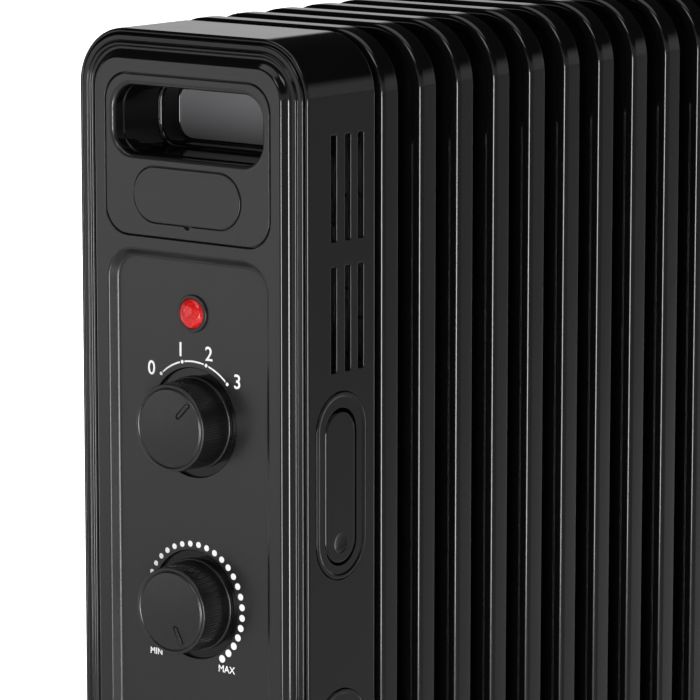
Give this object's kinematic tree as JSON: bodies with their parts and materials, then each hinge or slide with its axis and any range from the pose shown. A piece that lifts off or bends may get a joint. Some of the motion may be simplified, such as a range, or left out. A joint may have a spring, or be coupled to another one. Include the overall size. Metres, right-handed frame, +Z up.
{
  "type": "oil filled radiator heater",
  "caption": "Black oil filled radiator heater: pressed steel fins on steel feet with castors and a full height control head with grip pocket, lamp, two dials and fold-out cord hooks.",
  "frame": {"origin": "on the floor, under the middle of the overall box", "axes": "+Z up; X along the row of fins with the control face looking towards -X; the side with the cord hooks looks towards -Y"},
  "size_m": [0.4432, 0.24, 0.641],
  "materials": {
    "fin_paint": "gloss black enamel",
    "shell_black": "gloss",
    "cover_black": "satin",
    "knob_black": "fine satin",
    "lamp_red": "tinted, domed",
    "zinc_steel": "zinc plated",
    "brass": "turned",
    "phenolic": "moulded",
    "ceramic": "matte",
    "castor_black": "satin",
    "wheel_black": "matte"
  },
  "bodies": {
    "radiator": {"fin_01": "fin_paint", "fin_02": "fin_paint", "fin_03": "fin_paint", "fin_04": "fin_paint", "fin_05": "fin_paint", "fin_06": "fin_paint", "fin_07": "fin_paint", "fin_08": "fin_paint", "fin_09": "fin_paint", "fin_10": "fin_paint", "fin_11": "fin_paint", "oil_filler_plug": "zinc_steel", "rear_header_plug": "zinc_steel", "head_mounting_stud": "zinc_steel", "head_mounting_nut": "zinc_steel", "heater_flange": "zinc_steel", "heating_element_1": "zinc_steel", "heating_element_2": "zinc_steel", "head_shell": "shell_black", "front_cover": "cover_black", "head_back_plate": "zinc_steel", "handle_insert": "cover_black", "badge_cap": "cover_black", "lamp_lens": "lamp_red", "lamp_bezel": "cover_black", "lamp_holder": "ceramic", "power_switch": "phenolic", "thermostat": "ceramic", "upper_hook_bezel": "shell_black", "upper_hook_pin": "zinc_steel", "lower_hook_bezel": "shell_black", "lower_hook_pin": "zinc_steel", "terminal_block": "ceramic", "thermal_cutout": "phenolic", "tip_over_switch": "phenolic", "cord_gland": "castor_black", "front_foot": "fin_paint", "front_clamp_bolt": "zinc_steel", "front_right_wing_nut": "zinc_steel", "front_left_wing_nut": "zinc_steel", "rear_foot": "fin_paint", "rear_clamp_bolt": "zinc_steel", "rear_right_wing_nut": "zinc_steel", "rear_left_wing_nut": "zinc_steel"},
    "power_knob": {"power_knob": "knob_black", "power_switch_shaft": "brass"},
    "thermostat_knob": {"thermostat_knob": "knob_black", "thermostat_shaft": "brass"},
    "upper_cord_hook": {"upper_cord_hook": "shell_black"},
    "lower_cord_hook": {"lower_cord_hook": "shell_black"},
    "tip_over_pendulum": {"tip_over_pendulum": "zinc_steel"},
    "front_right_fork": {"front_right_castor_fork": "castor_black"},
    "front_right_wheel": {"front_right_castor_wheel": "wheel_black"},
    "front_left_fork": {"front_left_castor_fork": "castor_black"},
    "front_left_wheel": {"front_left_castor_wheel": "wheel_black"},
    "rear_right_fork": {"rear_right_castor_fork": "castor_black"},
    "rear_right_wheel": {"rear_right_castor_wheel": "wheel_black"},
    "rear_left_fork": {"rear_left_castor_fork": "castor_black"},
    "rear_left_wheel": {"rear_left_castor_wheel": "wheel_black"}
  },
  "joints": [
    {"name": "power_knob_turn", "type": "hinge", "parent": "radiator", "child": "power_knob", "pos_m": [-0.21045, 0, 0.429], "axis": [1, 0, 0], "range_deg": [-88, 0]},
    {"name": "thermostat_knob_turn", "type": "hinge", "parent": "radiator", "child": "thermostat_knob", "pos_m": [-0.21045, 0, 0.3284], "axis": [1, 0, 0], "range_deg": [-310, 0]},
    {"name": "upper_hook_fold_out", "type": "hinge", "parent": "radiator", "child": "upper_cord_hook", "pos_m": [-0.17275, -0.0754, 0.3701], "axis": [1, 0, 0], "range_deg": [0, 90]},
    {"name": "lower_hook_fold_out", "type": "hinge", "parent": "radiator", "child": "lower_cord_hook", "pos_m": [-0.17275, -0.0754, 0.267], "axis": [-1, 0, 0], "range_deg": [0, 90]},
    {"name": "tip_over_swing", "type": "hinge", "parent": "radiator", "child": "tip_over_pendulum", "pos_m": [-0.16245, -0.04, 0.18], "axis": [1, 0, 0], "range_deg": [-25, 25]},
    {"name": "front_right_castor_swivel", "type": "hinge", "parent": "radiator", "child": "front_right_fork", "pos_m": [-0.07955, -0.1, 0.06], "axis": [0, 0, 1], "continuous": true},
    {"name": "front_right_wheel_spin", "type": "hinge", "parent": "front_right_fork", "child": "front_right_wheel", "pos_m": [-0.06355, -0.1, 0.024], "axis": [0, 1, 0], "continuous": true},
    {"name": "front_left_castor_swivel", "type": "hinge", "parent": "radiator", "child": "front_left_fork", "pos_m": [-0.07955, 0.1, 0.06], "axis": [0, 0, 1], "continuous": true},
    {"name": "front_left_wheel_spin", "type": "hinge", "parent": "front_left_fork", "child": "front_left_wheel", "pos_m": [-0.06355, 0.1, 0.024], "axis": [0, 1, 0], "continuous": true},
    {"name": "rear_right_castor_swivel", "type": "hinge", "parent": "radiator", "child": "rear_right_fork", "pos_m": [0.15565, -0.1, 0.06], "axis": [0, 0, 1], "continuous": true},
    {"name": "rear_right_wheel_spin", "type": "hinge", "parent": "rear_right_fork", "child": "rear_right_wheel", "pos_m": [0.17165, -0.1, 0.024], "axis": [0, 1, 0], "continuous": true},
    {"name": "rear_left_castor_swivel", "type": "hinge", "parent": "radiator", "child": "rear_left_fork", "pos_m": [0.15565, 0.1, 0.06], "axis": [0, 0, 1], "continuous": true},
    {"name": "rear_left_wheel_spin", "type": "hinge", "parent": "rear_left_fork", "child": "rear_left_wheel", "pos_m": [0.17165, 0.1, 0.024], "axis": [0, 1, 0], "continuous": true}
  ]
}
